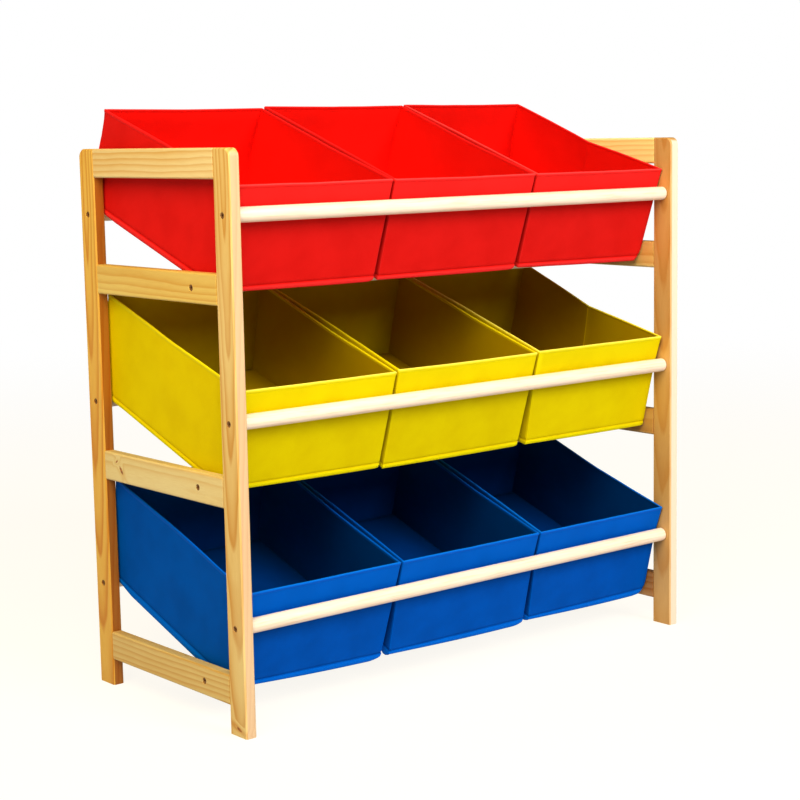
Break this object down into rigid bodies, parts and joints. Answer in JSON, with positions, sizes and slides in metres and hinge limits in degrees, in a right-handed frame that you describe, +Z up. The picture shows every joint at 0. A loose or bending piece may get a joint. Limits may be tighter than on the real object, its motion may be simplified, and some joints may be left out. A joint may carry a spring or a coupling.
{
  "type": "toy storage organizer with bins",
  "caption": "Low three-tier wooden toy rack: two ladder side frames joined by round dowels that carry open fabric bins, pitched forward, in red, yellow and blue tiers.",
  "frame": {"origin": "on the floor at the centre of the rack", "axes": "+X across the rack to the right as seen from the front, +Y from the front to the rear, +Z up"},
  "size_m": [0.654, 0.288, 0.6458],
  "materials": {
    "pine": "clear satin lacquer over pine grain",
    "dowel_wood": "pale clear-coated turned wood",
    "screw": "dark bronzed steel",
    "red_fabric": "matt non-woven fabric over stiff board",
    "red_rim": "matt folded and sewn fabric edge",
    "yellow_fabric": "matt non-woven fabric over stiff board",
    "yellow_rim": "matt folded and sewn fabric edge",
    "blue_fabric": "matt non-woven fabric over stiff board",
    "blue_rim": "matt folded and sewn fabric edge"
  },
  "bodies": {
    "frame": {"left_front_post": "pine", "left_rear_post": "pine", "left_top_rail": "pine", "left_upper_rung": "pine", "left_middle_rung": "pine", "left_lower_rung": "pine", "left_screws": "screw", "left_joint_pins": "dowel_wood", "right_front_post": "pine", "right_rear_post": "pine", "right_top_rail": "pine", "right_upper_rung": "pine", "right_middle_rung": "pine", "right_lower_rung": "pine", "right_screws": "screw", "right_joint_pins": "dowel_wood", "bottom_front_dowel": "dowel_wood", "bottom_rear_dowel": "dowel_wood", "bottom_lower_dowel": "dowel_wood", "middle_front_dowel": "dowel_wood", "middle_rear_dowel": "dowel_wood", "middle_lower_dowel": "dowel_wood", "top_front_dowel": "dowel_wood", "top_rear_dowel": "dowel_wood", "top_lower_dowel": "dowel_wood"},
    "blue_left_bin": {"blue_left_bin_shell": "blue_fabric", "blue_left_bin_rim": "blue_rim", "blue_left_bin_insert": "blue_fabric"},
    "blue_centre_bin": {"blue_centre_bin_shell": "blue_fabric", "blue_centre_bin_rim": "blue_rim", "blue_centre_bin_insert": "blue_fabric"},
    "blue_right_bin": {"blue_right_bin_shell": "blue_fabric", "blue_right_bin_rim": "blue_rim", "blue_right_bin_insert": "blue_fabric"},
    "yellow_left_bin": {"yellow_left_bin_shell": "yellow_fabric", "yellow_left_bin_rim": "yellow_rim", "yellow_left_bin_insert": "yellow_fabric"},
    "yellow_centre_bin": {"yellow_centre_bin_shell": "yellow_fabric", "yellow_centre_bin_rim": "yellow_rim", "yellow_centre_bin_insert": "yellow_fabric"},
    "yellow_right_bin": {"yellow_right_bin_shell": "yellow_fabric", "yellow_right_bin_rim": "yellow_rim", "yellow_right_bin_insert": "yellow_fabric"},
    "red_left_bin": {"red_left_bin_shell": "red_fabric", "red_left_bin_rim": "red_rim", "red_left_bin_insert": "red_fabric"},
    "red_centre_bin": {"red_centre_bin_shell": "red_fabric", "red_centre_bin_rim": "red_rim", "red_centre_bin_insert": "red_fabric"},
    "red_right_bin": {"red_right_bin_shell": "red_fabric", "red_right_bin_rim": "red_rim", "red_right_bin_insert": "red_fabric"}
  },
  "joints": [
    {"name": "blue_left_bin_lift", "type": "slide", "parent": "frame", "child": "blue_left_bin", "axis": [0, -0.3326, 0.9431], "range_m": [0, 0.06]},
    {"name": "blue_centre_bin_lift", "type": "slide", "parent": "frame", "child": "blue_centre_bin", "axis": [0, -0.3326, 0.9431], "range_m": [0, 0.06]},
    {"name": "blue_right_bin_lift", "type": "slide", "parent": "frame", "child": "blue_right_bin", "axis": [0, -0.3326, 0.9431], "range_m": [0, 0.06]},
    {"name": "yellow_left_bin_lift", "type": "slide", "parent": "frame", "child": "yellow_left_bin", "axis": [0, -0.3326, 0.9431], "range_m": [0, 0.06]},
    {"name": "yellow_centre_bin_lift", "type": "slide", "parent": "frame", "child": "yellow_centre_bin", "axis": [0, -0.3326, 0.9431], "range_m": [0, 0.06]},
    {"name": "yellow_right_bin_lift", "type": "slide", "parent": "frame", "child": "yellow_right_bin", "axis": [0, -0.3326, 0.9431], "range_m": [0, 0.06]},
    {"name": "red_left_bin_lift", "type": "slide", "parent": "frame", "child": "red_left_bin", "axis": [0, -0.3326, 0.9431], "range_m": [0, 0.112]},
    {"name": "red_centre_bin_lift", "type": "slide", "parent": "frame", "child": "red_centre_bin", "axis": [0, -0.3326, 0.9431], "range_m": [0, 0.112]},
    {"name": "red_right_bin_lift", "type": "slide", "parent": "frame", "child": "red_right_bin", "axis": [0, -0.3326, 0.9431], "range_m": [0, 0.112]}
  ]
}
